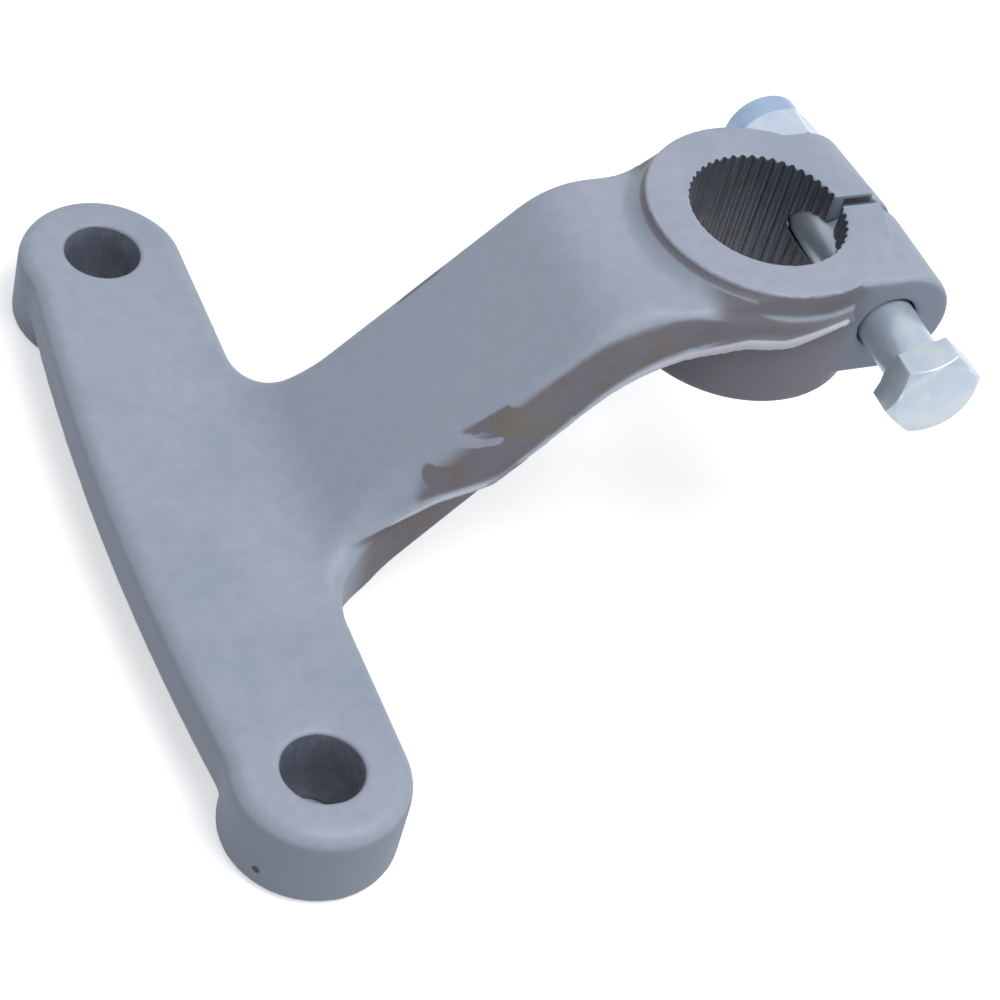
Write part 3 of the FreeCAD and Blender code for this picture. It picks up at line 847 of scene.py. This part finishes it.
def makeArm():
    shape = bmesh.new()
    shape.from_mesh(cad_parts["steering_arm"].data)
    bmesh.ops.remove_doubles(shape, verts=shape.verts, dist=mergeReach)
    piece = newPiece("forgedArm", shape, armPaint, boreSteel)
    remesh = piece.modifiers.new("remesh", "REMESH")
    remesh.mode = "VOXEL"
    remesh.voxel_size = arm["voxel"]
    applied(piece)
    softenForging(piece.data)
    thinner = piece.modifiers.new("thinner", "DECIMATE")
    thinner.ratio = arm["kept"]
    cutters = [newPiece("cutter", tool, boreSteel) for tool in holeTools()]
    for cutter in cutters:
        cut = piece.modifiers.new("cut", "BOOLEAN")
        cut.object = cutter
        cut.solver = "MANIFOLD"
        cut.operation = "DIFFERENCE"
    applied(piece)
    for cutter in cutters:
        bpy.data.objects.remove(cutter)

    mesh = piece.data
    # how far the flash ridge stands out, where the paint puts its painted highlight
    flash = mesh.attributes.new("flash", "FLOAT", "POINT")
    flash.data.foreach_set("value", [outsideWall(vert.co) for vert in mesh.vertices])
    for face in mesh.polygons:
        face.use_smooth = True
    mesh.set_sharp_from_angle(angle=arm["sharpAngle"])
    mesh.calc_loop_triangles()
    print("  triangles", len(mesh.loop_triangles))
    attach(piece, "arm")
    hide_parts("steering_arm")


makeArm()

print("Clamp bolt")
bolt = {
    "seat": -39.4 * mm,             # the head's bearing face, along Y
    "length": 82.55 * mm,
    "radius": 6.35 * mm,
    "pitch": 25.4 / 13 * mm,
    "threadLength": 31.75 * mm,
    "threadDepth": 1.1 * mm,
    "crestShare": 0.14,
    "levelsPerTurn": 16,
    "endChamfer": 1.2 * mm,
    "acrossFlats": 19.05 * mm,
    "headHeight": 7.94 * mm,
    "faceHeight": 0.8 * mm,
    "faceRadius": 9 * mm,
    "rimRadius": 9.2 * mm,
    "chamferDrop": 1.3 * mm,
    "headTurn": math.radians(42),
    "segments": 72,
    "softEdge": 0.25 * mm,
    "softSegments": 2,
    "softAngle": math.radians(25),
    "sharpAngle": math.radians(35),
}


def hexagonRadius(angle):
    # distance from the axis to the hexagon's side in one direction
    sixth = math.pi / 3
    return bolt["acrossFlats"] / 2 / math.cos(angle % sixth - sixth / 2)


def threadRadius(angle, height):
    # the thread fades in over its first turn and is trimmed by the chamfer at the end
    start = bolt["length"] - bolt["threadLength"]
    phase = (height / bolt["pitch"] - angle / math.tau) % 1
    slope = abs(phase - 0.5) * 2
    flank = (slope - bolt["crestShare"]) / (1 - 2 * bolt["crestShare"])
    depth = bolt["threadDepth"] * min(max(flank, 0), 1)
    runIn = min(max((height - start) / bolt["pitch"], 0), 1)
    trim = max(height - bolt["length"] + bolt["endChamfer"], 0)
    return min(bolt["radius"] - depth * runIn, bolt["radius"] - trim)


def threadRing(height):
    return lambda angle: (threadRadius(angle, height), height)


def roundRing(radius, height):
    return lambda angle: (radius, height)


def hexagonRing(height, drop):
    # a ring of the hexagon, set back by the share drop of what it stands past the rim
    def place(angle):
        radius = hexagonRadius(angle)
        return radius, height + drop * (radius - bolt["rimRadius"])
    return place


def boltRings():
    # from the free end to the head: each ring gives its radius and height in one direction
    start = bolt["length"] - bolt["threadLength"]
    count = round(bolt["threadLength"] / bolt["pitch"] * bolt["levelsPerTurn"])
    rings = []
    for index in range(count + 1):
        rings.append(threadRing(bolt["length"] - bolt["threadLength"] * index / count))
    low = -bolt["faceHeight"]
    top = -bolt["headHeight"]
    corner = bolt["acrossFlats"] / math.sqrt(3)
    drop = bolt["chamferDrop"] / (corner - bolt["rimRadius"])
    return rings + [
        roundRing(bolt["radius"], start / 2),
        roundRing(bolt["radius"], 0),
        roundRing(bolt["faceRadius"], 0),
        roundRing(bolt["faceRadius"], low),
        hexagonRing(low, 0),
        hexagonRing(top, drop),
        roundRing(bolt["rimRadius"], top),
    ]


def grownRing(shape, ring):
    # extrudes the open ring of edges and gives the new points and edges
    grown = bmesh.ops.extrude_edge_only(shape, edges=ring)["geom"]
    verts = [item for item in grown if isinstance(item, bmesh.types.BMVert)]
    edges = [item for item in grown if isinstance(item, bmesh.types.BMEdge)
             and item.verts[0] in verts and item.verts[1] in verts]
    return verts, edges


def softenHead(shape):
    # a small round along the head's sharp edges
    sharp = [edge for edge in shape.edges
             if edge.is_manifold and edge.calc_face_angle() > bolt["softAngle"]
             and max(vert.co.z for vert in edge.verts) < 0]
    bmesh.ops.bevel(shape, geom=sharp, offset=bolt["softEdge"], segments=bolt["softSegments"],
                    affect="EDGES", profile=0.5, material=-1, clamp_overlap=True)


def makeBolt():
    shape = bmesh.new()
    made = bmesh.ops.create_circle(shape, cap_ends=True, segments=bolt["segments"],
                                   radius=bolt["radius"])
    ring = shape.edges[:]
    verts = made["verts"]
    for index, place in enumerate(boltRings()):
        if index > 0:
            verts, ring = grownRing(shape, ring)
        for vert in verts:
            angle = math.atan2(vert.co.y, vert.co.x)
            radius, height = place(angle)
            vert.co = (radius * math.cos(angle), radius * math.sin(angle), height)
    bmesh.ops.contextual_create(shape, geom=ring)
    bmesh.ops.recalc_face_normals(shape, faces=shape.faces)
    shape.normal_update()
    softenHead(shape)
    place = Matrix.Translation((hub["boltX"], bolt["seat"], hub["boltZ"]))
    turn = Matrix.Rotation(math.radians(-90), 4, "X") @ Matrix.Rotation(bolt["headTurn"], 4, "Z")
    bmesh.ops.transform(shape, matrix=place @ turn, verts=shape.verts)
    piece = newPiece("threadedBolt", shape, boltZinc)
    for face in piece.data.polygons:
        face.use_smooth = True
    piece.data.set_sharp_from_angle(angle=bolt["sharpAngle"])
    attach(piece, "bolt")
    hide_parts("clamp_bolt")


makeBolt()

print("Done")
